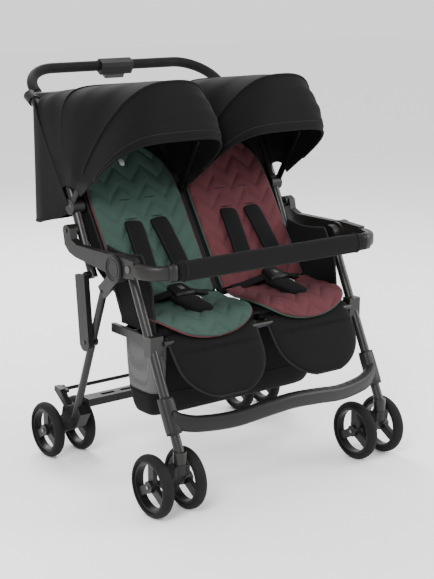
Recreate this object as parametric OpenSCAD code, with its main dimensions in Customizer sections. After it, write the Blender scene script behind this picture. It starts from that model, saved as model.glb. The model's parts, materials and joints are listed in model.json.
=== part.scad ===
// Side-by-side twin folding stroller: front frame, folding rear frame, armrests with a
// bumper bar, a folding handle, two seats, two canopies and eight wheels in four pairs.
// X runs across the stroller, the child faces -Y, and the floor is z = 0.

/* [Wheels] */
// Diameter of each front wheel over its tyre
front_wheel_d = 155.5; // [130:0.5:175]
// Diameter of each rear wheel over its tyre
rear_wheel_d = 148.4; // [125:0.1:175]
// Width of each front tyre
front_tyre_w = 30; // [22:1:32]
// Width of each rear tyre
rear_tyre_w = 29; // [22:1:32]
// Distance from the middle of the stroller to the middle of a front wheel pair
front_pair_x = 324; // [300:1:345]
// Distance from the middle of the stroller to the middle of a rear wheel pair
rear_pair_x = 319; // [300:1:345]
// Distance between the middles of the two wheels of one pair
pair_gap = 95; // [88:1:104]
// Distance from front axle to rear axle
wheelbase = 504; // [480:1:560]
// How far the front axle trails behind its swivel
caster_trail = 42; // [30:1:50]
// Diameter of the wheel axles
axle_d = 8; // [6:0.5:10]

/* [Frame] */
// Diameter of the frame tubes
tube_d = 24; // [18:1:26]
// Distance from the middle to the front leg and handle tubes
frame_x = 322; // [322:1:340]
// Height of the main folding pivot
hub_z = 576; // [550:1:620]
// Diameter of the main pivot pin
hub_pin_d = 10; // [8:1:14]
// Width of the seat tubes, side to side
seat_tube_w = 11; // [8:1:12]
// Height of the seat tubes
seat_tube_h = 22; // [16:1:28]

/* [Handle] */
// Length of the straight lower part of each handle tube
handle_straight = 407; // [350:1:450]
// Lean of the lower handle tubes from the floor, in degrees
handle_lean = 64.3; // [60:0.1:70]
// Lean of the upper handle tubes from the floor, in degrees
handle_top_lean = 28; // [26:1:40]
// Length of the upper handle tubes, up to the crossbar
handle_top_len = 124; // [100:1:140]
// Half the width of the handle loop between the middles of its arms
loop_half_w = 297; // [270:1:297]
// How far the handle loop stands behind the crossbar
loop_depth = 124; // [112:1:150]
// Bend radius of the loop's corners
loop_bend = 100; // [70:1:110]
// Diameter of the foam grip on the loop
grip_d = 28; // [24:1:34]

/* [Seats] */
// Distance from the middle to the inner edge of each seat
seat_inner = 14; // [14:1:24]
// Distance from the middle to the outer edge of each seat
seat_outer = 289; // [270:1:289]
// Height of the top of the seat pads
seat_z = 438; // [430:1:470]
// Thickness of the seat pads
seat_pad_t = 30; // [20:1:34]
// Length of each backrest along its slope
back_len = 464; // [420:1:500]
// Thickness of each backrest
back_t = 24; // [16:1:30]
// Slope of the backrests from the floor, in degrees
back_slope = 57; // [52:1:70]
// Length of each calf rest along its slope
calf_len = 167; // [130:1:170]
// Slope of the calf rests from the floor, in degrees
calf_slope = 56; // [50:1:70]

/* [Canopies] */
// Outer radius of each canopy about its side mounts
canopy_r = 318; // [280:1:330]
// Rounding of the canopy corners, seen from the front
canopy_corner = 70; // [40:1:100]
// Thickness of canopy, basket and side panel cloth
cloth_t = 3; // [2:0.5:4]
// Distance from the middle to the outer side of a canopy
canopy_outer = 304; // [300:1:308]

/* [Basket] */
// Half the width of the basket
basket_half_w = 275; // [240:1:285]
// Height of the bottom of the basket
basket_z = 172; // [165:1:190]
// Height of the rim of the basket
basket_rim_z = 393; // [340:1:393]

/* [Hidden] */
$fn = 64;
run_gap = 0.3;          // gap between faces that pass each other
pin_gap = 0.05;         // radial clearance of a pin in its bore
front_axle_y = -328;
rear_axle_y = front_axle_y + wheelbase;
front_axle_z = front_wheel_d / 2;
rear_axle_z = rear_wheel_d / 2;
swivel_y = front_axle_y - caster_trail;
tube_r = tube_d / 2;
hub_y = -168;
hub_r = 34;
A = [hub_y, hub_z];
// lateral layers at the main pivot, from the inside out
leg_in = frame_x - tube_r;
leg_out = frame_x + tube_r;
rear_in = leg_out + run_gap;
rear_out = rear_in + 11;
arm_in = rear_out + run_gap;
arm_out = arm_in + 20;
cap_out = arm_out + run_gap + 5;
// front leg line
leg_low = [swivel_y, 160];
// rear leg line
rear_leg_low = [rear_axle_y - 74, 117];
brake_p = [rear_axle_y - 36, 131];
rear_knee = [hub_y + 93, hub_z - 76];
rear_leg_w = 20;
rear_x_top = rear_in + 4;
bracket_w = 30;
// armrest and handle
B = [hub_y + 223, hub_z + 56];
handle_dir = [cos(handle_lean), sin(handle_lean)];
handle_low = B - 128 * handle_dir;
handle_bend = handle_low + handle_straight * handle_dir;
handle_top = handle_bend + handle_top_len * [cos(handle_top_lean), sin(handle_top_lean)];
curtain_z = 620;
loop_lean = 31;
housing_half = 52;
trigger_half = 30;
trigger_t = 14;
trigger_low = -31;      // lower face of the trigger, below the middle of the grip
D = handle_low + 8 * handle_dir;
C = [-12, 356];
lock_w = 44;
lock_t = 15;
// seat
crease = [-88, seat_z - 2];
seat_front_y = -258;
seat_rear_y = -122;
seat_tube_z = 399;
cross_r = 7;
seat_tube_out = leg_in - 0.5;
calf_hinge = [-272, 402];
calf_t = 18;
panel_in = seat_outer + 0.5;
// canopy
mount = [B[0] + 25, 685];
canopy_in = 4;
bow_angle = 108;
brim_angle = 146;
rear_angle = 55;
fork_w = 40;
bumper_y = -316;
bumper_z = 588;
bumper_r = 23;
core_r = 11;
footrest_y = -376;
footrest_z = 224;
clamp = [-339, 240];

// ---- helpers ----

// a point of the side view [y, z] placed at a distance x from the middle
function at(x, p) = [x, p[0], p[1]];

// a round bar from point p to point q
module bar(p, q, r) {
  v = q - p;
  translate(p)
    rotate([0, acos(v[2] / norm(v)), atan2(v[1], v[0])])
      cylinder(h = norm(v), r = r);
}

// a box of the side view's plane, from x0 to x1, along p to q, h high
module plank(x0, x1, p, q, h) {
  v = q - p;
  translate([x0, p[0], p[1]])
    rotate([atan2(v[1], v[0]), 0, 0])
      translate([0, 0, -h / 2])
        cube([x1 - x0, norm(v), h]);
}

// a disc along X, from x0 to x1, at point p of the side view
module disc(x0, x1, p, r) {
  translate([x0, p[0], p[1]])
    rotate([0, 90, 0])
      cylinder(h = x1 - x0, r = r);
}

// an outline of the side view, stretched from x0 to x1
module slab(x0, x1) {
  translate([x0, 0, 0])
    rotate([90, 0, 90])
      linear_extrude(x1 - x0)
        children();
}

// the child on the left is a mirror image of the one on the right
module side(s) {
  if (s > 0) children();
  else mirror([1, 0, 0]) children();
}

// a U of round bar in the local XY plane, open towards -Y
module u_bar(half_w, depth, bend, r) {
  for (s = [-1, 1]) {
    translate([s * half_w, 0, 0])
      rotate([-90, 0, 0])
        cylinder(h = depth - bend, r = r);
    translate([s * (half_w - bend), depth - bend, 0])
      rotate([0, 0, s > 0 ? 0 : 90])
        rotate_extrude(angle = 90)
          translate([bend, 0])
            circle(r = r);
  }
  translate([-(half_w - bend), depth, 0])
    rotate([0, 90, 0])
      cylinder(h = 2 * (half_w - bend), r = r);
}

// ---- front frame ----

module front_leg(s) {
  color("#35332f")
    side(s) {
      difference() {
        union() {
          bar(at(frame_x, A), at(frame_x, leg_low), tube_r);
          translate([frame_x, swivel_y, 138])
            cylinder(h = 30, r = tube_r + 4);
        }
        translate([frame_x, swivel_y, 130])
          cylinder(h = 30, d = 10 + 2 * pin_gap);
        disc(frame_x - 40, frame_x + 40, A, hub_r - 8);
      }
    }
}
module front_leg_left() { front_leg(-1); }
module front_leg_right() { front_leg(1); }

// the fixed hub: a drum that takes the leg's top, and the pin that carries the moving arms
module hub(s) {
  color("#222222")
    side(s) {
      disc(leg_in, leg_out, A, hub_r - 8);
      disc(leg_out, cap_out, A, hub_pin_d / 2);
      disc(arm_out + run_gap, cap_out, A, hub_r + 1);
    }
}
module hub_left() { hub(-1); }
module hub_right() { hub(1); }

// side tubes of the seat, cross tubes below the pads and the brackets on the legs
module seat_frame() {
  tube_in = seat_tube_out - seat_tube_w;
  color("#2b2a28") {
    for (s = [-1, 1])
      side(s) {
        plank(tube_in, seat_tube_out, [-262, seat_tube_z], [-60, seat_tube_z], seat_tube_h);
        // clamp that reaches the front leg
        difference() {
          slab(tube_in, leg_out + 1)
            translate([-272, 372])
              square([28, 50]);
          bar(at(frame_x, A), at(frame_x, leg_low), tube_r);
        }
      }
    for (y = [seat_front_y + 18, seat_rear_y - 18])
      disc(-tube_in, tube_in, [y, seat_z - seat_pad_t - cross_r - run_gap], cross_r);
    disc(-tube_in, tube_in, calf_hinge, cross_r);
  }
}

// moulded footrest bar with a clamp on each leg
module footrest_bar() {
  x_in = 250;
  color("#1d1d1d") {
    difference() {
      union() {
        slab(-x_in, x_in)
          polygon([
            [footrest_y - 14, footrest_z - 12], [footrest_y + 18, footrest_z - 12],
            [footrest_y + 22, footrest_z + 8], [footrest_y - 6, footrest_z + 12],
            [footrest_y - 18, footrest_z + 2]
          ]);
        for (s = [-1, 1])
          side(s) {
            hull() {
              translate([x_in - 2, footrest_y - 14, footrest_z - 12])
                cube([4, 32, 22]);
              translate([frame_x - 20, clamp[0] - 22, clamp[1] - 14])
                cube([4, 36, 36]);
            }
            bar(at(frame_x, clamp + [-17, -38]), at(frame_x, clamp + [17, 36]), tube_r + 6);
          }
      }
      for (s = [-1, 1])
        side(s)
          bar(at(frame_x, A), at(frame_x, leg_low), tube_r);
    }
  }
}

// ---- seats on the front frame ----

module seat_pad(s) {
  color(s > 0 ? "#7d4442" : "#6e8256")
    side(s)
      slab(seat_inner, seat_outer)
        polygon([
          [seat_rear_y, seat_z - seat_pad_t], [seat_rear_y, seat_z],
          [seat_front_y + 8, seat_z + 4], [seat_front_y, seat_z - 4],
          [seat_front_y, seat_z - seat_pad_t]
        ]);
}
module seat_pad_left() { seat_pad(-1); }
module seat_pad_right() { seat_pad(1); }

module buckle(s) {
  x = (seat_inner + seat_outer) / 2;
  color("#151515")
    side(s)
      translate([x - 24, -205, seat_z + 2.9])
        cube([48, 60, 22]);
}
module buckle_left() { buckle(-1); }
module buckle_right() { buckle(1); }

// outline of the basket from the side; d draws it in by a wall
module basket_outline(d) {
  polygon([
    [-205 + d, basket_rim_z + d], [-172 + d, basket_z + d + 20], [-150 + d, basket_z + d],
    [-62 - d, basket_z + d], [-44 - d, basket_z + d + 20], [-36 - d, basket_rim_z + d]
  ]);
}
module basket() {
  color("#242424")
    difference() {
      slab(-basket_half_w, basket_half_w)
        basket_outline(0);
      slab(-basket_half_w + cloth_t, basket_half_w - cloth_t)
        basket_outline(cloth_t);
    }
}

// cloth between the front leg and the armrest on each side
module side_panels() {
  color("#1b1b1b")
    for (s = [-1, 1])
      side(s)
        slab(panel_in, panel_in + cloth_t)
          polygon([
            [-228, 425], [-216, 520], [-175, 594], [-20, 598], [-12, 560], [-70, 425]
          ]);
}

// ---- front casters ----

module caster_fork(s) {
  color("#1e1e1e")
    side(s) {
      difference() {
        union() {
          translate([frame_x, swivel_y, 112])
            cylinder(h = 138 - 112 - run_gap, r = tube_r + 5);
          translate([frame_x, swivel_y, 112])
            cylinder(h = 44, d = 10);
          slab(frame_x + 2 - fork_w / 2, frame_x + 2 + fork_w / 2)
            polygon([
              [swivel_y - 12, 134], [swivel_y - 10, 112], [front_axle_y - 14, front_axle_z - 10],
              [front_axle_y, front_axle_z - 16], [front_axle_y + 14, front_axle_z - 8],
              [front_axle_y + 14, front_axle_z + 10], [front_axle_y - 8, front_axle_z + 38],
              [swivel_y + 16, 134]
            ]);
        }
        disc(frame_x - 60, frame_x + 60, [front_axle_y, front_axle_z], axle_d / 2);
      }
    }
}
module caster_fork_left() { caster_fork(-1); }
module caster_fork_right() { caster_fork(1); }

module axle_pin(x, p) {
  reach = pair_gap / 2 + 17;
  disc(x - reach, x + reach, p, axle_d / 2);
}
module front_axle(s) {
  color("#9a9a9a")
    side(s)
      axle_pin(front_pair_x, [front_axle_y, front_axle_z]);
}
module front_axle_left() { front_axle(-1); }
module front_axle_right() { front_axle(1); }

// three-spoke wheel centre, turning on its axle
module rim(x, p, r, w) {
  rim_r = r - 15;
  difference() {
    union() {
      difference() {
        disc(x - w / 2 + 4, x + w / 2 - 4, p, rim_r);
        disc(x - w, x + w, p, rim_r - 7);
      }
      disc(x - w / 2 + 2, x + w / 2 - 1, p, 15);
      for (a = [90, 210, 330])
        plank(x - 6, x + 6, p + 10 * [cos(a), sin(a)], p + (rim_r - 3) * [cos(a), sin(a)], 22);
    }
    disc(x - w, x + w, p, axle_d / 2 + pin_gap);
  }
}
module tyre(x, p, r, w) {
  translate([x, p[0], p[1]])
    rotate([0, 90, 0])
      rotate_extrude()
        difference() {
          intersection() {
            translate([r - 15, -w / 2])
              square([15, w]);
            translate([r - w / 2 - 1.5, 0])
              circle(r = w / 2 + 1.5);
          }
          translate([0, -w])
            square([r - 15, 2 * w]);
        }
}
module rims(s, x, p, r, w) {
  color("#2c2c2c")
    side(s)
      for (d = [-1, 1])
        rim(x + d * pair_gap / 2, p, r, w);
}
module tyres(s, x, p, r, w) {
  color("#141414")
    side(s)
      for (d = [-1, 1])
        tyre(x + d * pair_gap / 2, p, r, w);
}
module front_rims(s) {
  rims(s, front_pair_x, [front_axle_y, front_axle_z], front_wheel_d / 2, front_tyre_w);
}
module front_tyres(s) {
  tyres(s, front_pair_x, [front_axle_y, front_axle_z], front_wheel_d / 2, front_tyre_w);
}
module rear_rims(s) {
  rims(s, rear_pair_x, [rear_axle_y, rear_axle_z], rear_wheel_d / 2, rear_tyre_w);
}
module rear_tyres(s) {
  tyres(s, rear_pair_x, [rear_axle_y, rear_axle_z], rear_wheel_d / 2, rear_tyre_w);
}
module front_rims_left() { front_rims(-1); }
module front_rims_right() { front_rims(1); }
module front_tyres_left() { front_tyres(-1); }
module front_tyres_right() { front_tyres(1); }
module rear_rims_left() { rear_rims(-1); }
module rear_rims_right() { rear_rims(1); }
module rear_tyres_left() { rear_tyres(-1); }
module rear_tyres_right() { rear_tyres(1); }

// ---- rear frame ----

module rear_leg(s) {
  color("#35332f")
    side(s)
      difference() {
        union() {
          disc(rear_in, rear_out, A, hub_r - 2);
          plank(rear_in, rear_out, A, rear_knee + [6, -5], 34);
          bar(at(rear_x_top, rear_knee), at(rear_pair_x + 6, rear_leg_low), rear_leg_w / 2);
          // boss that carries the lock link
          disc(frame_x + 4, rear_out, C, 12);
          disc(rear_out, rear_out + run_gap + lock_t + 2, C, 5);
        }
        disc(rear_in - 20, rear_out + 20, A, hub_pin_d / 2 + pin_gap);
      }
}
module rear_leg_left() { rear_leg(-1); }
module rear_leg_right() { rear_leg(1); }

// flat moulded crossbar with slots, between the rear legs
module rear_crossbar() {
  y = rear_leg_low[0] - 27;
  z = 170;
  half = rear_pair_x - 9;
  color("#1d1d1d")
    difference() {
      translate([-half, y - 20, z - 12])
        cube([2 * half, 40, 20]);
      for (x = [-240:60:240])
        translate([x - 20, y - 6, z - 20])
          cube([40, 12, 40]);
    }
}

// moulded bracket from the rear leg's end down to the axle
module rear_bracket(s) {
  x = rear_pair_x;
  color("#1e1e1e")
    side(s)
      difference() {
        slab(x - bracket_w / 2, x + bracket_w / 2)
          polygon([
            [rear_leg_low[0] - 44, rear_leg_low[1] + 22], [rear_leg_low[0] - 16, 98],
            [rear_axle_y - 12, rear_axle_z - 13], [rear_axle_y + 10, rear_axle_z - 12],
            [rear_axle_y + 15, rear_axle_z + 4], [rear_axle_y - 2, rear_axle_z + 26],
            [rear_leg_low[0] + 30, 140], [rear_leg_low[0] - 20, 165]
          ]);
        disc(x - 60, x + 60, [rear_axle_y, rear_axle_z], axle_d / 2);
        bar(at(rear_x_top, rear_knee), at(x + 6, rear_leg_low), rear_leg_w / 2);
        // seat of the crossbar's end
        translate([x - 40, rear_leg_low[0] - 27 - 20, 158])
          cube([40 - 9, 40, 20]);
        // room for the brake pedal, around the pin that it turns on
        difference() {
          disc(x - 8 - run_gap, x + 8 + run_gap, brake_p, 14);
          disc(x - 10, x + 10, brake_p, 4);
        }
      }
}
module rear_bracket_left() { rear_bracket(-1); }
module rear_bracket_right() { rear_bracket(1); }

module rear_axles() {
  color("#9a9a9a")
    for (s = [-1, 1])
      side(s)
        axle_pin(rear_pair_x, [rear_axle_y, rear_axle_z]);
}

// two pedals joined by a thin cross rod, so that they move together
module brake_pedals() {
  color("#262626") {
    for (s = [-1, 1])
      side(s)
        difference() {
          union() {
            disc(rear_pair_x - 8, rear_pair_x + 8, brake_p, 12);
            slab(rear_pair_x - 8, rear_pair_x + 8)
              polygon([
                brake_p + [-6, 8], brake_p + [8, 0], brake_p + [66, 38], brake_p + [64, 50],
                brake_p + [36, 46]
              ]);
          }
          disc(rear_pair_x - 20, rear_pair_x + 20, brake_p, 4 + pin_gap);
        }
    // the rod runs behind the brackets, below the pedals
    for (s = [-1, 1])
      side(s)
        plank(rear_pair_x - 8 - 12, rear_pair_x - 8, brake_p + [34, 37], brake_p + [62, 45], 8);
    disc(-(rear_pair_x - 20), rear_pair_x - 20, brake_p + [48, 41], 5);
  }
}

// ---- armrests and bumper ----

module armrest(s) {
  color("#35332f")
    side(s)
      difference() {
        union() {
          disc(arm_in, arm_out, A, hub_r);
          slab(arm_in, arm_out)
            polygon([
              A + [0, -20], [B[0] - 42, A[1] - 4], [B[0] - 12, A[1] + 4], [B[0] + 8, A[1] + 20],
              [B[0] + 14, B[1] - 6], [B[0] + 12, B[1] + 10], [B[0] - 2, B[1] + 16],
              [B[0] - 18, B[1] + 8], [B[0] - 24, A[1] + 38], [B[0] - 50, A[1] + 28],
              A + [30, 30], A + [0, 34], A + [-80, 30], A + [-84, -12]
            ]);
          disc(arm_in - 8, arm_out, B, 15);
        }
        disc(arm_in - 30, arm_out + 30, A, hub_pin_d / 2 + pin_gap);
        disc(arm_in - 30, arm_out + 30, B, 5 + pin_gap);
        // pocket of the release button
        disc(arm_out - 9, arm_out + 10, A + [-58, 8], 9 + run_gap);
      }
}
module armrest_left() { armrest(-1); }
module armrest_right() { armrest(1); }

// the bumper lies in a plane through the fronts of the armrests
module bumper_plane() {
  translate([0, A[0] - 84, bumper_z - 4])
    rotate([0, 0, 180])
      children();
}
module bumper_core() {
  color("#222222")
    bumper_plane()
      u_bar((arm_in + arm_out) / 2, A[0] - 84 - bumper_y, 60, core_r);
}
module bumper_cover() {
  depth = A[0] - 84 - bumper_y;
  half = (arm_in + arm_out) / 2;
  color("#1b1b1b")
    bumper_plane()
      difference() {
        intersection() {
          u_bar(half, depth, 60, bumper_r);
          translate([-half - 40, 12, -40])
            cube([2 * half + 80, depth + 40, 80]);
        }
        u_bar(half, depth, 60, core_r);
      }
}
module bumper_button(s) {
  color("#333333")
    side(s)
      disc(arm_out - 5.5, arm_out + 2.5, A + [-58, 8], 9);
}
module bumper_button_left() { bumper_button(-1); }
module bumper_button_right() { bumper_button(1); }

// ---- handle ----

module handle_tube(s) {
  color("#35332f")
    side(s) {
      up = [cos(handle_top_lean), sin(handle_top_lean)];
      mitre = tube_r * tan((handle_lean - handle_top_lean) / 2);
      bar(at(frame_x, handle_low), at(frame_x, handle_bend + mitre * handle_dir), tube_r);
      bar(at(frame_x, handle_bend - mitre * up), at(frame_x, handle_top), tube_r);
      // stud that carries the armrest's rear pivot
      disc(frame_x, arm_out + 2, B, 5);
      // boss beside the lock link's free end
      disc(frame_x, rear_out, D, 10);
    }
}
module handle_tube_left() { handle_tube(-1); }
module handle_tube_right() { handle_tube(1); }

// the crossbar ends in a socket over each tube, and the arms of the loop plug into it
module handle_crossbar() {
  up = [cos(handle_top_lean), sin(handle_top_lean)];
  color("#222222")
    difference() {
      union() {
        disc(-frame_x, frame_x, handle_top, 13);
        for (s = [-1, 1])
          side(s)
            bar(at(frame_x, handle_top - 16 * up), at(frame_x, handle_top + 14 * up), tube_r + 4);
      }
      for (s = [-1, 1])
        side(s) {
          bar(at(frame_x, handle_bend), at(frame_x, handle_top), tube_r);
          loop_plane()
            translate([loop_half_w, 0, 0])
              rotate([-90, 0, 0])
                cylinder(h = 60, r = grip_d / 2 - 3);
        }
    }
}
module loop_plane() {
  translate([0, handle_top[0], handle_top[1]])
    rotate([loop_lean, 0, 0])
      children();
}
module handle_loop() {
  color("#222222")
    loop_plane()
      u_bar(loop_half_w, loop_depth, loop_bend, grip_d / 2 - 3);
}
module handle_grip() {
  color("#161616")
    loop_plane()
      difference() {
        intersection() {
          u_bar(loop_half_w, loop_depth, loop_bend, grip_d / 2);
          translate([-400, 18, -40])
            cube([800, 200, 80]);
        }
        u_bar(loop_half_w, loop_depth, loop_bend, grip_d / 2 - 3);
        // gap for the release housing
        translate([-housing_half, loop_depth - 40, -40])
          cube([2 * housing_half, 80, 80]);
      }
}
module fold_housing() {
  color("#1a1a1a")
    loop_plane()
      difference() {
        slab(-housing_half + 0.5, housing_half - 0.5)
          translate([loop_depth, 0])
            polygon([
              [-20, -17], [6, -17], [12.5, -6], [15, 4], [8, 18], [-14, 18], [-20, 8]
            ]);
        translate([-housing_half - 1, loop_depth, 0])
          rotate([0, 90, 0])
            cylinder(h = 2 * housing_half + 2, r = grip_d / 2 - 3);
        // slot of the trigger, on the underside
        translate([-trigger_half - run_gap, loop_depth - 18 - run_gap, trigger_low + 1])
          cube([2 * (trigger_half + run_gap), trigger_t + 2 * run_gap, trigger_t + 3.5]);
      }
}
module fold_trigger() {
  color("#3a3a3a")
    loop_plane()
      translate([-trigger_half, loop_depth - 18, trigger_low])
        cube([2 * trigger_half, trigger_t, trigger_t]);
}

// ---- canopies ----

// U-shaped cloth section between an inner and an outer side, as radius and distance across
module canopy_section(x0, x1, r_in, r_out) {
  c = canopy_corner;
  difference() {
    union() {
      translate([r_in, x0])
        square([r_out - r_in - c, x1 - x0]);
      translate([r_out - c - 1, x0 + c])
        square([c + 1, x1 - x0 - 2 * c]);
      for (x = [x0 + c, x1 - c])
        translate([r_out - c, x])
          circle(r = c);
    }
    translate([r_in - 1, x0 + cloth_t])
      square([r_out - r_in - c + 1, x1 - x0 - 2 * cloth_t]);
    translate([r_out - c - 1, x0 + c])
      square([c + 1 - cloth_t, x1 - x0 - 2 * c]);
    for (x = [x0 + c, x1 - c])
      translate([r_out - c, x])
        circle(r = c - cloth_t);
  }
}
module canopy_sweep(s, x0, x1, r_in, r_out, a0, a1) {
  side(s)
    translate(at(0, mount))
      rotate([a0, 0, 0])
        rotate([90, 0, 90])
          rotate_extrude(angle = a1 - a0)
            canopy_section(x0, x1, r_in, r_out);
}
module canopy_rear(s) {
  color("#1f1f1f")
    canopy_sweep(s, canopy_in, canopy_outer, 12, canopy_r, rear_angle, bow_angle);
}
module canopy_front(s) {
  g = cloth_t + run_gap;
  color("#1f1f1f")
    canopy_sweep(s, canopy_in + g, canopy_outer - g, 12, canopy_r - g, bow_angle - 4, brim_angle);
}
module canopy_rear_left() { canopy_rear(-1); }
module canopy_rear_right() { canopy_rear(1); }
module canopy_front_left() { canopy_front(-1); }
module canopy_front_right() { canopy_front(1); }

// clips that hold the canopy bows on the handle tubes
module canopy_mounts() {
  color("#161616")
    for (s = [-1, 1])
      side(s)
        difference() {
          union() {
            disc(canopy_outer + run_gap, leg_out + 4, mount, 20);
            plank(canopy_outer + run_gap, leg_out + 4, mount, mount + [22, 10], 26);
          }
          bar(at(frame_x, handle_low), at(frame_x, handle_bend), tube_r);
        }
}

// cloth that hangs from the crossbar down behind the seats
module rear_curtain() {
  y = handle_top[0] - 13 - cloth_t - run_gap;
  color("#1b1b1b")
    translate([-canopy_outer, y, curtain_z])
      cube([2 * canopy_outer, cloth_t, handle_top[1] - curtain_z]);
}

// ---- lock links ----

module lock_link(s) {
  dir = (D - C) / norm(D - C);
  x0 = rear_out + run_gap;
  color("#1e1e1e")
    side(s)
      difference() {
        union() {
          plank(x0, x0 + lock_t, C - 8 * dir, D + 4 * dir, lock_w);
          disc(x0, x0 + lock_t, C, lock_w / 2);
        }
        disc(x0 - 10, x0 + lock_t + 10, C, 5 + pin_gap);
      }
}
module lock_link_left() { lock_link(-1); }
module lock_link_right() { lock_link(1); }

// ---- backrests ----

module backrest(s) {
  dir = [cos(back_slope), sin(back_slope)];
  color(s > 0 ? "#7d4442" : "#6e8256")
    side(s)
      plank(seat_inner, seat_outer, crease, crease + back_len * dir, back_t);
}
module backrest_left() { backrest(-1); }
module backrest_right() { backrest(1); }

module shoulder_pads(s) {
  dir = [cos(back_slope), sin(back_slope)];
  up = [-sin(back_slope), cos(back_slope)];
  x = (seat_inner + seat_outer) / 2;
  low = crease + 135 * dir + (back_t / 2 + 7 + run_gap) * up;
  color("#151515")
    side(s)
      for (d = [-40, 40])
        plank(x + d - 20, x + d + 20, low, low + 110 * dir, 14);
}
module shoulder_pads_left() { shoulder_pads(-1); }
module shoulder_pads_right() { shoulder_pads(1); }

// ---- calf rests ----

module calf_rest(s) {
  dir = [-cos(calf_slope), -sin(calf_slope)];
  color("#1b1b1b")
    side(s)
      plank(seat_inner + 2, seat_outer - 3, calf_hinge + (cross_r + run_gap) * dir,
            calf_hinge + calf_len * dir, calf_t);
}
module calf_rest_left() { calf_rest(-1); }
module calf_rest_right() { calf_rest(1); }

front_leg_left();
front_leg_right();
hub_left();
hub_right();
seat_frame();
footrest_bar();
seat_pad_left();
seat_pad_right();
buckle_left();
buckle_right();
basket();
side_panels();
caster_fork_left();
caster_fork_right();
front_axle_left();
front_axle_right();
front_rims_left();
front_rims_right();
front_tyres_left();
front_tyres_right();
rear_leg_left();
rear_leg_right();
rear_crossbar();
rear_bracket_left();
rear_bracket_right();
rear_axles();
rear_rims_left();
rear_rims_right();
rear_tyres_left();
rear_tyres_right();
brake_pedals();
armrest_left();
armrest_right();
bumper_core();
bumper_cover();
bumper_button_left();
bumper_button_right();
handle_tube_left();
handle_tube_right();
handle_crossbar();
handle_loop();
handle_grip();
fold_housing();
fold_trigger();
canopy_mounts();
canopy_rear_left();
canopy_rear_right();
rear_curtain();
canopy_front_left();
canopy_front_right();
lock_link_left();
lock_link_right();
backrest_left();
backrest_right();
shoulder_pads_left();
shoulder_pads_right();
calf_rest_left();
calf_rest_right();
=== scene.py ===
"""Looks for the twin folding stroller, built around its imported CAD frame.

Metres, in the frame's own axes: +X is the right-hand seat seen from the front, the children face -Y,
+Z is up and the floor is z = 0.
"""
import json
import math

import bmesh
import bpy
import numpy as np
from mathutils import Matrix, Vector


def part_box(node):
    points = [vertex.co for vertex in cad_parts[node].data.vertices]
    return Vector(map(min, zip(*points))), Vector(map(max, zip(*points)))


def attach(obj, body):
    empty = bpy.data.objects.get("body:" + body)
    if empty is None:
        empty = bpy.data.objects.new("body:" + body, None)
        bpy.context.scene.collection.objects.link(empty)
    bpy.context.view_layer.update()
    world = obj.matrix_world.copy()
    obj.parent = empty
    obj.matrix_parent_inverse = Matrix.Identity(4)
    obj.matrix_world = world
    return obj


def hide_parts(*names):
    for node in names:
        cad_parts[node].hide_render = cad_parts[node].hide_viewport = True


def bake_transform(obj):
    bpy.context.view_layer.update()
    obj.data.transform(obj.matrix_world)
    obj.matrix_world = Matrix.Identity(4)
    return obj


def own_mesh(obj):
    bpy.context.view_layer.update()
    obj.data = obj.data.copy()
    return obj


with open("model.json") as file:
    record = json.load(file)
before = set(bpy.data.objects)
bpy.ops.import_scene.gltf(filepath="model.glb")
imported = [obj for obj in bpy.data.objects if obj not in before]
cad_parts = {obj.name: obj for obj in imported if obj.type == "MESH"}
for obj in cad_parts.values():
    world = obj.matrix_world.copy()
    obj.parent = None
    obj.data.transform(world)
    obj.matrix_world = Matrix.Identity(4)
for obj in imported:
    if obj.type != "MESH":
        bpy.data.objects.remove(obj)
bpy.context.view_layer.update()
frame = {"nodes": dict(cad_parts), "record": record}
SIDES = {"left": -1, "right": 1}
LINER = {"left": "green_liner", "right": "red_liner"}
BINDING = {"left": "red_liner", "right": "green_liner"}

# Thickness of the sheets, and places on the frame that more than one piece uses.
CLOTH_T = 0.0020
CANOPY_T = 0.0022
BASKET_T = 0.0018
HUB_Y, HUB_Z = -0.168, 0.576
FOOTREST_X = 0.322


# ---------------------------------------------------------------- camera, light, floor

CAMERA_AT = (-2.009, -2.764, 1.278)
CAMERA_YAW = math.radians(36.88)
CAMERA_PITCH = math.radians(13.81)
LENS_MM = 82.3


def make_camera():
    data = bpy.data.cameras.new("camera")
    data.lens = LENS_MM
    data.sensor_width = 36
    camera = bpy.data.objects.new("camera", data)
    camera.location = CAMERA_AT
    camera.rotation_euler = (math.pi / 2 - CAMERA_PITCH, 0, -CAMERA_YAW)
    bpy.context.collection.objects.link(camera)
    bpy.context.scene.camera = camera


def area_light(name, at, aim, size, power):
    data = bpy.data.lights.new(name, "AREA")
    data.shape = "DISK"
    data.size = size
    data.energy = power
    light = bpy.data.objects.new(name, data)
    light.location = at
    light.rotation_euler = (Vector(aim) - Vector(at)).to_track_quat("-Z", "Y").to_euler()
    bpy.context.collection.objects.link(light)


def make_stage():
    world = bpy.data.worlds.new("world")
    world.use_nodes = True
    background = world.node_tree.nodes["Background"].inputs
    background["Color"].default_value = (1, 1, 1, 1)
    background["Strength"].default_value = 1.35
    bpy.context.scene.world = world
    area_light("key", (-2.6, -2.2, 2.8), (0, 0, 0.5), 1.6, 150)
    area_light("fill", (2.6, -1.8, 1.8), (0, 0, 0.5), 2.0, 80)
    area_light("back", (0.6, 2.6, 2.6), (0, 0, 0.6), 1.8, 110)
    bpy.ops.mesh.primitive_plane_add(size=30)
    floor = bpy.context.object
    floor.name = "floor"
    material = bpy.data.materials.new("floor")
    material.use_nodes = True
    shader = material.node_tree.nodes["Principled BSDF"]
    shader.inputs["Base Color"].default_value = (0.96, 0.96, 0.96, 1)
    shader.inputs["Roughness"].default_value = 0.9
    floor.data.materials.append(material)


# ---------------------------------------------------------------- materials

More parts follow.
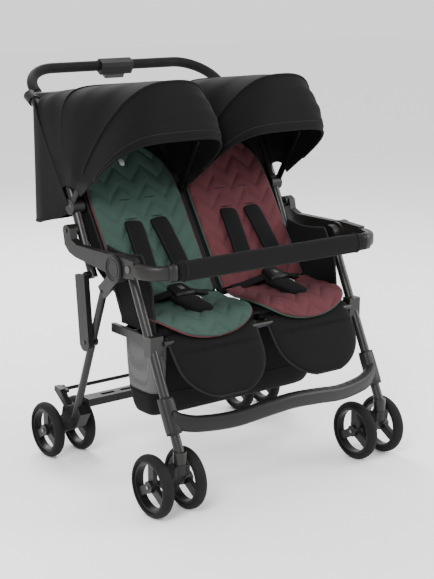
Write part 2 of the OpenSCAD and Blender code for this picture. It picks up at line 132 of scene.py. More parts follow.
class Nodes:
    """A material's node tree, with short calls to add and join nodes."""

    def __init__(self, name, roughness, sheen=0.0, specular=0.5):
        self.material = bpy.data.materials.new(name)
        self.material.use_nodes = True
        self.tree = self.material.node_tree
        self.shader = self.tree.nodes["Principled BSDF"]
        self.shader.inputs["Roughness"].default_value = roughness
        self.shader.inputs["Sheen Weight"].default_value = sheen
        self.shader.inputs["Specular IOR Level"].default_value = specular
        coordinates = self.tree.nodes.new("ShaderNodeTexCoord")
        self.position = coordinates.outputs["Object"]

    def add(self, kind, inputs=(), **settings):
        node = self.tree.nodes.new(kind)
        for key, value in settings.items():
            setattr(node, key, value)
        for key, value in dict(inputs).items():
            if isinstance(value, bpy.types.NodeSocket):
                self.tree.links.new(value, node.inputs[key])
            else:
                node.inputs[key].default_value = value
        return node

    def noise(self, scale, detail=3.0):
        inputs = {"Vector": self.position, "Scale": scale, "Detail": detail}
        return self.add("ShaderNodeTexNoise", inputs).outputs["Fac"]

    def ramp(self, factor, dark, light):
        node = self.add("ShaderNodeValToRGB", {"Fac": factor})
        node.color_ramp.elements[0].position = 0.3
        node.color_ramp.elements[1].position = 0.7
        node.color_ramp.elements[0].color = (*dark, 1)
        node.color_ramp.elements[1].color = (*light, 1)
        return node.outputs["Color"]

    def color(self, socket):
        self.tree.links.new(socket, self.shader.inputs["Base Color"])

    def bump(self, height, strength, distance):
        node = self.add("ShaderNodeBump", {"Height": height, "Strength": strength, "Distance": distance})
        self.tree.links.new(node.outputs["Normal"], self.shader.inputs["Normal"])

    def vary_roughness(self, factor, low, high):
        node = self.add("ShaderNodeMapRange", {"Value": factor, "To Min": low, "To Max": high})
        self.tree.links.new(node.outputs["Result"], self.shader.inputs["Roughness"])


def plastic(name, color, roughness=0.45, grain=900):
    m = Nodes(name, roughness, specular=0.28)
    m.color(m.ramp(m.noise(14), [c * 0.85 for c in color], [c * 1.15 for c in color]))
    m.vary_roughness(m.noise(60), roughness - 0.06, roughness + 0.08)
    m.bump(m.noise(grain, 2), 0.12, 0.0004)
    return m.material


def painted(name, color, roughness=0.32):
    m = Nodes(name, roughness, specular=0.3)
    m.shader.inputs["Metallic"].default_value = 0.1
    m.shader.inputs["Coat Weight"].default_value = 0.1
    m.shader.inputs["Coat Roughness"].default_value = 0.3
    m.color(m.ramp(m.noise(9), [c * 0.9 for c in color], [c * 1.1 for c in color]))
    m.vary_roughness(m.noise(45), roughness - 0.04, roughness + 0.08)
    m.bump(m.noise(1500, 2), 0.06, 0.0002)
    return m.material


def steel(name):
    m = Nodes(name, 0.35)
    m.shader.inputs["Metallic"].default_value = 1.0
    m.color(m.ramp(m.noise(80), (0.16, 0.16, 0.16), (0.28, 0.28, 0.28)))
    return m.material


def rubber(name, color):
    m = Nodes(name, 0.75, specular=0.15)
    m.color(m.ramp(m.noise(25), [c * 0.8 for c in color], [c * 1.3 for c in color]))
    m.bump(m.noise(700, 4), 0.25, 0.0005)
    return m.material


def cloth(name, color, thread=0.0011, roughness=0.9, sheen=0.02, melange=0.2):
    """Plain weave: two crossed bands of threads, with a slow unevenness in the dye."""
    m = Nodes(name, roughness, sheen=sheen, specular=0.12)
    scale = 1 / thread / (2 * math.pi)
    bands = []
    for direction in ("X", "Y", "Z"):
        wave = m.add(
            "ShaderNodeTexWave", {"Vector": m.position, "Scale": scale, "Distortion": 0.6},
            bands_direction=direction)
        bands.append(wave.outputs["Fac"])
    height = bands[0]
    for band in bands[1:]:
        height = m.add("ShaderNodeMath", {0: height, 1: band}, operation="ADD").outputs[0]
    third = m.add("ShaderNodeMath", {0: height, 1: 1 / 3}, operation="MULTIPLY").outputs[0]
    fleck = m.add("ShaderNodeMath", {0: m.noise(420, 2), 1: m.noise(7)}, operation="ADD")
    half = m.add("ShaderNodeMath", {0: fleck.outputs[0], 1: 0.5}, operation="MULTIPLY").outputs[0]
    dark = [c * (1 - melange) for c in color]
    light = [c * (1 + melange) for c in color]
    m.color(m.ramp(half, dark, light))
    m.bump(third, 0.35, 0.0006)
    return m.material


def open_mesh(name, color, hole=0.0026):
    """Net of round holes for the basket's sides."""
    m = cloth(name, color, melange=0.1)
    tree = m.node_tree
    shader = tree.nodes["Principled BSDF"]
    place = tree.nodes.new("ShaderNodeTexCoord")
    cells = tree.nodes.new("ShaderNodeTexVoronoi")
    cells.inputs["Scale"].default_value = 1 / hole
    cells.inputs["Randomness"].default_value = 0.15
    edge = tree.nodes.new("ShaderNodeMath")
    edge.operation = "GREATER_THAN"
    edge.inputs[1].default_value = 0.30
    tree.links.new(place.outputs["Object"], cells.inputs["Vector"])
    tree.links.new(cells.outputs["Distance"], edge.inputs[0])
    tree.links.new(edge.outputs[0], shader.inputs["Alpha"])
    return m


MAT = {}


def make_materials():
    MAT["tube"] = painted("tube_paint", (0.0085, 0.0078, 0.0072))
    MAT["plastic"] = plastic("charcoal_plastic", (0.0045, 0.0045, 0.0045))
    MAT["armrest"] = plastic("armrest_plastic", (0.0075, 0.0068, 0.0062), 0.42)
    MAT["rim"] = plastic("wheel_plastic", (0.006, 0.006, 0.006), 0.42)
    MAT["tyre"] = rubber("tyre_rubber", (0.0065, 0.0065, 0.0065))
    MAT["foam"] = rubber("foam_grip", (0.006, 0.006, 0.006))
    MAT["axle"] = steel("axle_steel")
    MAT["button"] = plastic("button_plastic", (0.05, 0.05, 0.05), 0.4)
    MAT["black_cloth"] = cloth("black_cloth", (0.0036, 0.0036, 0.0038))
    MAT["webbing"] = cloth("webbing_cloth", (0.0034, 0.0034, 0.0036), thread=0.0018)
    MAT["green_liner"] = cloth("green_liner", (0.029, 0.053, 0.043), melange=0.12)
    MAT["red_liner"] = cloth("red_liner", (0.072, 0.022, 0.026), melange=0.12)
    MAT["mesh"] = open_mesh("basket_mesh", (0.09, 0.09, 0.09))
    MAT["thread"] = cloth("seam_thread", (0.012, 0.012, 0.013), thread=0.0006)
    MAT["badge"] = plastic("badge_metal", (0.38, 0.38, 0.37), 0.35)


def paint_frame():
    """Every CAD node gets its material, and moulded parts get softly rounded edges."""
    slots = {s["node"]: s["material_slot"] for s in frame["record"]["subparts"]}
    for name, node in frame["nodes"].items():
        armrest = name.startswith("armrest")
        key = "armrest" if armrest else slots[name]
        if node.material_slots:
            node.material_slots[0].material = MAT[key]
        else:
            node.data.materials.append(MAT[key])
        if armrest or slots[name] in ("plastic", "rim", "button"):
            bevel = node.modifiers.new("round_edges", "BEVEL")
            bevel.width = 0.0022
            bevel.segments = 3
            bevel.limit_method = "ANGLE"
            bevel.angle_limit = math.radians(50)


# ---------------------------------------------------------------- mesh helpers

def add_mesh(name, points, faces, material, smooth=True):
    data = bpy.data.meshes.new(name)
    data.from_pydata([tuple(map(float, p)) for p in points], [], [tuple(map(int, f)) for f in faces])
    data.materials.append(material)
    data.validate()
    data.shade_smooth() if smooth else data.shade_flat()
    obj = bpy.data.objects.new(name, data)
    bpy.context.collection.objects.link(obj)
    return obj


def grid_faces(rows, columns, closed_columns=False, closed_rows=False, offset=0):
    faces = []
    for i in range(rows if closed_rows else rows - 1):
        for j in range(columns if closed_columns else columns - 1):
            a, b = i * columns + j, i * columns + (j + 1) % columns
            c, d = ((i + 1) % rows) * columns + (j + 1) % columns, ((i + 1) % rows) * columns + j
            faces.append((a + offset, b + offset, c + offset, d + offset))
    return faces


def sheet_mesh(name, grid, material, thickness):
    """A sheet through a grid of points, given a thickness centred on it."""
    rows, columns = grid.shape[:2]
    obj = add_mesh(name, grid.reshape(-1, 3), grid_faces(rows, columns), material)
    solid = obj.modifiers.new("thickness", "SOLIDIFY")
    solid.thickness = thickness
    solid.offset = 0
    apply_modifiers(obj)
    return obj


def shell_mesh(name, top, bottom, material):
    """A closed solid between two grids of the same size."""
    rows, columns = top.shape[:2]
    count = rows * columns
    faces = [tuple(reversed(f)) for f in grid_faces(rows, columns)]
    faces += grid_faces(rows, columns, offset=count)
    rim = list(range(columns))
    rim += [i * columns + columns - 1 for i in range(1, rows)]
    rim += [(rows - 1) * columns + j for j in range(columns - 2, -1, -1)]
    rim += [i * columns for i in range(rows - 2, 0, -1)]
    for k, a in enumerate(rim):
        b = rim[(k + 1) % len(rim)]
        faces.append((a, b, b + count, a + count))
    points = np.concatenate([top.reshape(-1, 3), bottom.reshape(-1, 3)])
    obj = add_mesh(name, points, faces, material)
    tidy_mesh(obj)
    return obj


def tidy_mesh(obj, distance=0.0002):
    work = bmesh.new()
    work.from_mesh(obj.data)
    bmesh.ops.remove_doubles(work, verts=work.verts, dist=distance)
    bmesh.ops.dissolve_degenerate(work, edges=work.edges, dist=1e-5)
    bmesh.ops.recalc_face_normals(work, faces=work.faces)
    work.to_mesh(obj.data)
    work.free()
    obj.data.shade_smooth()


def sweep_mesh(name, path, profile, material, up=(0, 0, 1), cap=True):
    """A closed profile, as (across, upward) pairs per ring, swept along a path of points."""
    path = np.asarray(path, float)
    rings = []
    for i, point in enumerate(path):
        ahead = path[min(i + 1, len(path) - 1)] - path[max(i - 1, 0)]
        ahead /= np.linalg.norm(ahead)
        across = np.cross(ahead, up)
        across /= np.linalg.norm(across)
        rise = np.cross(across, ahead)
        shape = profile(i / (len(path) - 1))
        rings.append([point + a * across + b * rise for a, b in shape])
    rings = np.array(rings)
    rows, columns = rings.shape[:2]
    faces = grid_faces(rows, columns, closed_columns=True)
    if cap:
        faces.append(tuple(range(columns))[::-1])
        faces.append(tuple((rows - 1) * columns + j for j in range(columns)))
    obj = add_mesh(name, rings.reshape(-1, 3), faces, material)
    tidy_mesh(obj)
    return obj


def oval(half_width, half_height, sides=20, power=2.0):
    """A rounded rectangle: power 2 is an ellipse, and 4 is nearly square."""
    shape = []
    for k in range(sides):
        a = 2 * math.pi * k / sides
        c, s = math.cos(a), math.sin(a)
        shape.append((
            half_width * math.copysign(abs(c) ** (2 / power), c),
            half_height * math.copysign(abs(s) ** (2 / power), s)))
    return shape


def bead(name, path, radius, material, closed=False):
    """A thin round piping or thread along a path."""
    path = np.asarray(path, float)
    count = len(path)
    rings = []
    for i in range(count):
        before = path[(i - 1) % count] if closed else path[max(i - 1, 0)]
        after = path[(i + 1) % count] if closed else path[min(i + 1, count - 1)]
        ahead = (after - before) / (np.linalg.norm(after - before) + 1e-12)
        helper = np.array([0.13, 0.21, 0.97]) if abs(ahead[2]) < 0.9 else np.array([0.97, 0.2, 0.1])
        across = np.cross(ahead, helper)
        across /= np.linalg.norm(across)
        rise = np.cross(across, ahead)
        rings.append([
            path[i] + radius * (math.cos(a) * across + math.sin(a) * rise)
            for a in np.linspace(0, 2 * math.pi, 8, endpoint=False)])
    rings = np.array(rings)
    faces = grid_faces(count, 8, closed_columns=True, closed_rows=closed)
    if not closed:
        faces.append(tuple(range(8))[::-1])
        faces.append(tuple((count - 1) * 8 + j for j in range(8)))
    return add_mesh(name, rings.reshape(-1, 3), faces, material)


def smooth_path(points, per_span=10):
    """A Catmull-Rom curve through a few points."""
    points = [np.asarray(p, float) for p in points]
    ends = [2 * points[0] - points[1]] + points + [2 * points[-1] - points[-2]]
    out = []
    for i in range(1, len(ends) - 2):
        p0, p1, p2, p3 = ends[i - 1:i + 3]
        for t in np.linspace(0, 1, per_span, endpoint=False):
            out.append(0.5 * (2 * p1 + (p2 - p0) * t + (2 * p0 - 5 * p1 + 4 * p2 - p3) * t * t
                              + (3 * p1 - p0 - 3 * p2 + p3) * t ** 3))
    out.append(points[-1])
    return np.array(out)


def mirrored(points):
    """Points from the left over the middle one, which is given last, to their mirror images."""
    return [(-x, y, z) for x, y, z in points] + points[-2::-1]


def blend_value(x, xs, ys):
    """Value at x of the smooth-stepped line through (xs, ys)."""
    for k in range(len(xs) - 1):
        if x <= xs[k + 1]:
            t = max(0.0, (x - xs[k]) / (xs[k + 1] - xs[k]))
            t = t * t * (3 - 2 * t)
            return ys[k] + (ys[k + 1] - ys[k]) * t
    return ys[-1]


def inflate(obj, pressure=3.0, voxel=0.006, frames=20, cap=0.006):
    """Swells a closed pad with a cloth simulation, and caps how far its surface may move.
"""
    bpy.context.view_layer.objects.active = obj
    remesh = obj.modifiers.new("remesh", "REMESH")
    remesh.mode = "VOXEL"
    remesh.voxel_size = voxel
    apply_modifiers(obj)
    rest = np.array([v.co for v in obj.data.vertices], float)
    soft = obj.modifiers.new("cloth", "CLOTH")
    soft.settings.quality = 4
    soft.settings.mass = 0.2
    soft.settings.use_pressure = True
    soft.settings.uniform_pressure_force = pressure
    soft.settings.effector_weights.gravity = 0
    soft.point_cache.frame_start = 1
    soft.point_cache.frame_end = frames
    scene = bpy.context.scene
    for number in range(1, frames + 1):
        scene.frame_set(number)
    apply_modifiers(obj)
    scene.frame_set(1)
    moved = np.array([v.co for v in obj.data.vertices], float)
    step = moved - rest
    length = np.linalg.norm(step, axis=1, keepdims=True)
    moved = rest + step * np.minimum(1, cap / np.maximum(length, 1e-9))
    obj.data.vertices.foreach_set("co", moved.ravel())
    obj.data.update()
    obj.data.shade_smooth()


def apply_modifiers(obj):
    """Replaces the mesh by what its modifiers make of it."""
    graph = bpy.context.evaluated_depsgraph_get()
    graph.update()
    data = bpy.data.meshes.new_from_object(obj.evaluated_get(graph))
    obj.modifiers.clear()
    obj.data = data


# ---------------------------------------------------------------- seats

def seat_numbers(side):
    """Middle, half width and top of one seat, read from its CAD seat pad."""
    low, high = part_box(f"seat_pad_{side}")
    return {"mid": (low[0] + high[0]) / 2, "half": (high[0] - low[0]) / 2, "top": high[2] - 0.004}


BACK_SLOPE = math.radians(57)
BACK_T = 0.024
HINGE = np.array([0, -0.088, 0.436])
BACK_UP = np.array([0, math.cos(BACK_SLOPE), math.sin(BACK_SLOPE)])
BACK_OUT = np.array([0, -math.sin(BACK_SLOPE), math.cos(BACK_SLOPE)])
BACK_LEN = 0.464
SHOULDER = 0.10


def back_point(x, along, out):
    """A point of a backrest: across, up the slope from the hinge, and out of its middle plane."""
    return HINGE + along * BACK_UP + out * BACK_OUT + np.array([x, 0, 0])


def chevrons(u, v, pitch=0.052, wave=0.084, rise=0.022):
    """Height of a quilted cloth, 0 on a zigzag seam and 1 between two seams."""
    fold = np.abs(((v / wave) % 1.0) * 2 - 1)
    phase = (u + rise * (fold * 2 - 1)) / pitch
    puff = np.abs(np.sin(math.pi * phase))
    return puff ** 0.55


LINER_T = 0.011
LINER_HALF = 0.1365
LINER_TOP = 0.452
LINER_ROUND = 0.128
LINER_SHOULDER = 0.324


def back_liner_half(u):
    """Half the width of the liner at a distance u up the backrest: full low down, round at the top."""
    low = blend_value(u, [0.0, 0.10, 0.28, 0.36], [LINER_HALF, LINER_HALF, LINER_HALF, LINER_HALF - 0.003])
    start = LINER_TOP - LINER_ROUND
    if u <= start:
        return low
    t = min(1.0, (u - start) / LINER_ROUND)
    return low * math.sqrt(max(1e-4, 1 - t ** 2.1))


def quilted_back(side):
    """Quilted liner on the backrest."""
    n = seat_numbers(side)
    rows, columns = 190, 96
    us = 0.016 + (0.4515 - 0.016) * (np.linspace(0, 1, rows) ** 0.92)
    ss = np.linspace(-1, 1, columns)
    top, bottom = np.zeros((2, rows, columns, 3))
    base = BACK_T / 2 - 0.001
    for i, u in enumerate(us):
        half = back_liner_half(u)
        edge_u = min(1.0, (LINER_TOP - u) / 0.012, (u - 0.004) / 0.012)
        for j, s in enumerate(ss):
            v = half * s
            edge = (1 - abs(s) ** 14) ** 0.5 * math.sqrt(max(0, edge_u))
            puff = float(chevrons(np.float64(u), np.float64(v)))
            hollow = -0.004 * (1 - s * s) * math.sin(math.pi * min(1, u / 0.45))
            height = base + 0.002 + edge * (LINER_T * 0.55 + 0.0066 * puff) + hollow
            top[i, j] = back_point(n["mid"] + v, u, height)
            bottom[i, j] = back_point(n["mid"] + v, u, base + hollow * 0.3 - 0.0005)
    obj = shell_mesh(f"back_liner_{side}", top, bottom, MAT[LINER[side]])
    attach(obj, f"back_{side}")


def liner_edge(side):
    """Contrasting binding round the liner's edge on the backrest."""
    n = seat_numbers(side)
    ups = list(np.linspace(0.02, LINER_SHOULDER, 24))
    ups += [LINER_SHOULDER + LINER_ROUND * math.sin(a) for a in np.linspace(0.05, math.pi / 2, 20)]
    points = [(back_liner_half(u), u) for u in ups]
    left = [back_point(n["mid"] - w, u, BACK_T / 2 + 0.002) for w, u in points]
    right = [back_point(n["mid"] + w, u, BACK_T / 2 + 0.002) for w, u in reversed(points)]
    obj = bead(f"back_binding_{side}", left + right, 0.0022, MAT[BINDING[side]])
    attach(obj, f"back_{side}")


def backrest_shell(side):
    """Black padded backrest behind the liner, rounded at its shoulders."""
    n = seat_numbers(side)
    rows, columns = 60, 36
    top, bottom = np.zeros((2, rows, columns, 3))
    s_out = SIDES[side]
    inner, outer = 0.003, n["half"] * 2 + 0.014 + 0.004
    middle = s_out * (inner + outer) / 2
    half = (outer - inner) / 2

    def half_width(u):
        shoulder = max(0.0, (u - (BACK_LEN - SHOULDER)) / SHOULDER)
        return half * math.sqrt(max(0.02, 1 - 0.55 * shoulder ** 2.4))

    for i, u in enumerate(np.linspace(0.004, BACK_LEN - 0.001, rows)):
        w = half_width(u)
        edge_u = min(1.0, (BACK_LEN - u) / 0.012, u / 0.012)
        for j, s in enumerate(np.linspace(-1, 1, columns)):
            edge = (1 - abs(s) ** 10) ** 0.5 * math.sqrt(max(0, edge_u))
            wing = 0.006 * abs(s) ** 4
            top[i, j] = back_point(middle + w * s, u, (BACK_T / 2 - 0.003) * edge + wing)
            bottom[i, j] = back_point(middle + w * s, u, -(BACK_T / 2 - 0.003) * edge)
    obj = shell_mesh(f"backrest_cover_{side}", top, bottom, MAT["black_cloth"])
    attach(obj, f"back_{side}")
    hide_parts(f"backrest_{side}")
    piping = [(half_width(u), u) for u in np.linspace(0.02, BACK_LEN - 0.012, 40)]
    path = [back_point(middle - w, u, 0.006) for w, u in piping]
    path += [back_point(middle + w, u, 0.006) for w, u in reversed(piping)]
    cord = bead(f"backrest_piping_{side}", path, 0.0028, MAT["thread"])
    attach(cord, f"back_{side}")


CALF_SLOPE = math.radians(56)
CALF_TOP = np.array([0, -0.272, 0.402])
CALF_DOWN = np.array([0, -math.cos(CALF_SLOPE), -math.sin(CALF_SLOPE)])
CALF_OUT = np.array([0, -math.sin(CALF_SLOPE), math.cos(CALF_SLOPE)])
CALF_LEN = 0.167


def calf_point(x, down):
    """A point of a calf rest's middle plane: across, and down its slope from the top."""
    return CALF_TOP + down * CALF_DOWN + np.array([x, 0, 0])


TONGUE_ROUND = 0.105


def seat_profile(top):
    """Side view of the liner's upper face, from the crease over the seat to the tongue's tip."""
    return smooth_path([
        (0, -0.104, top + 0.016), (0, -0.130, top + 0.008), (0, -0.170, top + 0.007),
        (0, -0.215, top + 0.008), (0, -0.250, top + 0.005), (0, -0.274, top - 0.006),
        (0, -0.288, top - 0.024), (0, -0.296, top - 0.036)], 26)


def quilted_seat(side):
    """Quilted liner on the seat, with a round tongue that hangs over the calf rest."""
    n = seat_numbers(side)
    line = seat_profile(n["top"])
    steps = np.r_[0, np.cumsum(np.linalg.norm(np.diff(line, axis=0), axis=1))]
    length = steps[-1]
    rows, columns = 110, 100
    top, bottom = np.zeros((2, rows, columns, 3))
    for i, t in enumerate(np.linspace(0, 1, rows) ** 0.9):
        u = t * length
        back, centre, ahead = (
            np.array([np.interp(at, steps, line[:, k]) for k in range(3)])
            for at in (max(0, u - 0.002), u, min(length, u + 0.002)))
        along = (ahead - back) / np.linalg.norm(ahead - back)
        normal = np.array([0, along[2], -along[1]])
        tip = max(0.0, (u - (length - TONGUE_ROUND)) / TONGUE_ROUND)
        half = blend_value(u, [0, 0.05, 0.16], [LINER_HALF, LINER_HALF + 0.002, LINER_HALF + 0.004])
        half *= math.sqrt(max(1e-4, 1 - tip ** 2.6))
        edge_u = min(1.0, (length - u) / 0.010, u / 0.010)
        for j, s in enumerate(np.linspace(-1, 1, columns)):
            edge = (1 - abs(s) ** 14) ** 0.5 * math.sqrt(max(0, edge_u))
            puff = float(chevrons(np.float64(u + 0.012), np.float64(half * s)))
            rise = 0.003 * s * s
            place = centre + np.array([n["mid"] + half * s, 0, rise])
            top[i, j] = place + normal * (0.001 + edge * (0.0045 + 0.0058 * puff))
            bottom[i, j] = place - normal * 0.0015
    obj = shell_mesh(f"seat_liner_{side}", top, bottom, MAT[LINER[side]])
    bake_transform(obj)
    rim = [bottom[i, 0] for i in range(4, rows)] + [bottom[i, -1] for i in range(rows - 1, 3, -1)]
    binding = bead(f"seat_binding_{side}", rim, 0.0026, MAT[BINDING[side]])
    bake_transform(binding)


def seat_cushion(side):
    """Black seat pad below the liner, swollen by a cloth simulation."""
    low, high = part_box(f"seat_pad_{side}")
    inset = 0.005
    edges = (low[0] + inset, -0.002) if side == "left" else (0.002, high[0] - inset)
    rows, columns = 14, 22
    top, bottom = np.zeros((2, rows, columns, 3))
    for i, y in enumerate(np.linspace(high[1] - inset, low[1] + inset, rows)):
        for j, x in enumerate(np.linspace(*edges, columns)):
            top[i, j] = (x, y, high[2] - 0.012)
            bottom[i, j] = (x, y, low[2] + 0.003)
    obj = shell_mesh(f"seat_cushion_{side}", top, bottom, MAT["black_cloth"])
    inflate(obj)
    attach(obj, "front_frame")
    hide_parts(f"seat_pad_{side}")


def seat_bridge():
    """Strip of black cloth between the two seats, stretched over the seat frame's cross tubes."""
    rows, columns = 20, 9
    grid = np.zeros((rows, columns, 3))
    for i, y in enumerate(np.linspace(-0.084, -0.262, rows)):
        for j, x in enumerate(np.linspace(-0.034, 0.034, columns)):
            grid[i, j] = (x, y, 0.4285 - 0.004 * math.cos(x * 46) * math.sin(math.pi * i / (rows - 1)))
    obj = sheet_mesh("seat_bridge", grid, MAT["black_cloth"], CLOTH_T)
    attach(obj, "front_frame")


def calf_rest(side):
    """Black padded calf rest: wide at the knee, round at its lower corners, with one seam across."""
    n = seat_numbers(side)
    rows, columns = 44, 56
    half = n["half"] - 0.003
    start, length = -0.016, CALF_LEN + 0.004
    top, bottom = np.zeros((2, rows, columns, 3))
    seam = 0.034

    def half_width(t):
        tip = max(0.0, (start + t * length - (start + length - TONGUE_ROUND)) / TONGUE_ROUND)
        return (half - 0.010 * t) * math.sqrt(max(0.10, 1 - 0.90 * tip ** 2.3))

    for i, t in enumerate(np.linspace(0, 1, rows)):
        u = start + t * length
        w = half_width(t)
        edge_u = max(0.0, min(1.0, (start + length - u) / 0.014, (u - start) / 0.010))
        groove = 1 - 0.75 * math.exp(-((u - seam) / 0.0045) ** 2)
        for j, s in enumerate(np.linspace(-1, 1, columns)):
            edge = (1 - abs(s) ** 8) ** 0.5 * math.sqrt(max(0, edge_u))
            crown = 1.0 + 0.55 * (1 - s * s) * math.sin(math.pi * t)
            place = calf_point(n["mid"] + w * s, u)
            top[i, j] = place + CALF_OUT * (0.0075 * edge * crown * groove + 0.001)
            bottom[i, j] = place - CALF_OUT * 0.0075 * edge
    obj = shell_mesh(f"calf_rest_cover_{side}", top, bottom, MAT["black_cloth"])
    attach(obj, f"calf_{side}")
    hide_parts(f"calf_rest_{side}")
    edges = [(half_width(t), start + t * length) for t in np.linspace(0.02, 1, 34)]
    path = [calf_point(n["mid"] - w, u) for w, u in edges]
    path += [calf_point(n["mid"] + w, u) for w, u in reversed(edges)]
    piping = bead(f"calf_piping_{side}", path, 0.0030, MAT["thread"])
    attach(piping, f"calf_{side}")


# ---------------------------------------------------------------- harness

# Height up the backrest and distance out of it, along a shoulder pad from its top to its lower end.
PAD_LINE = ((0.232, 0.014), (0.222, 0.022), (0.196, 0.027), (0.150, 0.031), (0.105, 0.034), (0.078, 0.033))
PAD_LOW = 0.078


def pad_ring(t):
    end = abs(2 * t - 1)
    return oval(0.0265 * (1 - 0.30 * (end ** 8)), 0.0070 * (1 - 0.5 * end ** 10), 20, 2.8)


def shoulder_pads(side):
    """Two shoulder pads with stitched edges, and the slots above them in the liner."""
    n = seat_numbers(side)
    for k, offset in enumerate((-0.040, 0.040)):
        path = smooth_path([
            back_point(n["mid"] + offset * (1.30 - 2.2 * (u - PAD_LOW)), u, out) for u, out in PAD_LINE], 8)
        obj = sweep_mesh(
            f"shoulder_pad_{side}_{k}", path, pad_ring, MAT["black_cloth"], up=tuple(BACK_OUT))
        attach(obj, f"back_{side}")
        if k == 0:
            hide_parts(f"shoulder_pads_{side}")
        for edge in (-1, 1):
            line = [p + np.array([edge * 0.0228, 0, 0]) + BACK_OUT * 0.0045 for p in path[8:-6]]
            stitch = bead(f"pad_stitch_{side}_{k}_{'ab'[edge > 0]}", line, 0.0011, MAT["thread"])
            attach(stitch, f"back_{side}")
        for row, rise in enumerate((0.238, 0.292, 0.346)):
            slot_mark = bead(
                f"harness_slot_{side}_{k}_{row}",
                [back_point(n["mid"] + offset + d, rise, 0.0215) for d in (-0.018, 0, 0.018)],
                0.0013, MAT["thread"])
            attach(slot_mark, f"back_{side}")


def crotch_harness(side):
    """Crotch pad, buckle, ring and the waist straps, lying on the seat."""
    n = seat_numbers(side)
    z = n["top"]
    path = smooth_path([
        (n["mid"], -0.240, z + 0.017), (n["mid"], -0.222, z + 0.021), (n["mid"], -0.190, z + 0.025),
        (n["mid"], -0.150, z + 0.032), (n["mid"], -0.118, z + 0.040)], 8)
    pad = sweep_mesh(
        f"crotch_pad_{side}", path,
        lambda t: oval(0.033 * (1 - 0.3 * abs(2 * t - 1) ** 6), 0.0085, 24, 2.8), MAT["black_cloth"])
    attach(pad, "front_frame")
    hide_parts(f"buckle_{side}")
    buckle = sweep_mesh(
        f"buckle_shell_{side}",
        smooth_path([
            (n["mid"], -0.160, z + 0.039), (n["mid"], -0.138, z + 0.046), (n["mid"], -0.112, z + 0.051)], 8),
        lambda t: oval(0.029 - 0.004 * t, 0.010, 24, 3.6), MAT["plastic"])
    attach(buckle, "front_frame")
    button = sweep_mesh(
        f"buckle_button_{side}",
        [(n["mid"], -0.146, z + 0.0515), (n["mid"], -0.138, z + 0.0540), (n["mid"], -0.130, z + 0.0565)],
        lambda t: oval(0.009, 0.003, 20, 2.4), MAT["button"])
    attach(button, "front_frame")
    for s in (-1, 1):
        strap = sweep_mesh(
            f"waist_strap_{side}_{'ab'[s > 0]}",
            smooth_path([
                (n["mid"] + s * 0.020, -0.130, z + 0.045), (n["mid"] + s * 0.055, -0.124, z + 0.036),
                (n["mid"] + s * 0.090, -0.114, z + 0.026), (n["mid"] + s * 0.118, -0.104, z + 0.022)], 8),
            lambda t: oval(0.0125, 0.0015, 12, 4), MAT["webbing"], up=(0, -0.35, 1))
        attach(strap, "front_frame")
    ring = bead(
        f"harness_ring_{side}",
        [(n["mid"] + 0.030 + 0.013 * math.cos(a),
          -0.168 + 0.010 * math.sin(a), z + 0.026 + 0.007 * math.sin(a))
         for a in np.linspace(0, 2 * math.pi, 24, endpoint=False)],
        0.0016, MAT["axle"], closed=True)
    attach(ring, "front_frame")


def badge(side):
    """Small plain oval plate near the top of each liner."""
    n = seat_numbers(side)
    centre = back_point(n["mid"] - 0.012, 0.395, BACK_T / 2 + 0.010)
    plate = sweep_mesh(
        f"liner_badge_{side}", [centre, centre + BACK_OUT * 0.0012, centre + BACK_OUT * 0.0024],
        lambda t: oval(0.012 * (1 - 0.12 * t), 0.0085 * (1 - 0.12 * t), 28, 2.2),
        MAT["badge"], up=(1, 0, 0))
    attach(plate, f"back_{side}")


# ---------------------------------------------------------------- canopies

# Angles about the mounts, from straight back: the cloth's rear edge, the bow and the brim.
MOUNT = np.array([0, 0.080, 0.685])
REAR_DEG, BOW_DEG, BRIM_DEG = 56, 124, 144.5
REAR = math.radians(REAR_DEG)
BOW = math.radians(BOW_DEG)
BRIM = math.radians(BRIM_DEG)
CANOPY_IN = 0.004
CANOPY_ROOT = 0.055


def canopy_radius(angle):
    """Distance of the cloth from its mounts: flat from the rear to the bow, domed down to the brim."""
    degrees = math.degrees(angle)
    if degrees <= BOW_DEG:
        share = blend_value(
            degrees, [REAR_DEG, 70, 84, 98, 112, BOW_DEG], [0.0, 0.33, 0.55, 0.72, 0.87, 1.0])
        y, z = 0.182 - 0.395 * share, 0.266 + 0.052 * share
        return z / math.sin(angle) if degrees > 60 else math.hypot(y, z)
    return blend_value(degrees, [BOW_DEG, 129, 134, 139, BRIM_DEG], [0.383, 0.373, 0.356, 0.334, 0.309])


def canopy_side(angle):
    """How far out the canopy's outer side stands, over the handle tube."""
    return blend_value(math.degrees(angle), [REAR_DEG, 100, BOW_DEG, BRIM_DEG], [0.341, 0.340, 0.335, 0.333])


def canopy_point(side, angle, t, out=0.0):
    """Point of a canopy at an angle about its mounts; t runs from 0, outer side, over to 1, inner side."""
    s = SIDES[side]
    x_out, x_in = canopy_side(angle), CANOPY_IN
    middle, half = (x_out + x_in) / 2, (x_out - x_in) / 2
    a = math.pi * t
    power = 2 / blend_value(math.degrees(angle), [REAR_DEG, 80, BOW_DEG, BRIM_DEG], [7.0, 5.0, 2.7, 4.2])
    c = math.copysign(abs(math.cos(a)) ** power, math.cos(a))
    rise = abs(math.sin(a)) ** power
    radius = CANOPY_ROOT + (canopy_radius(angle) + out - CANOPY_ROOT) * rise
    x = middle + (half + out) * c
    return np.array([s * x, MOUNT[1] + radius * math.cos(angle), MOUNT[2] + radius * math.sin(angle)])


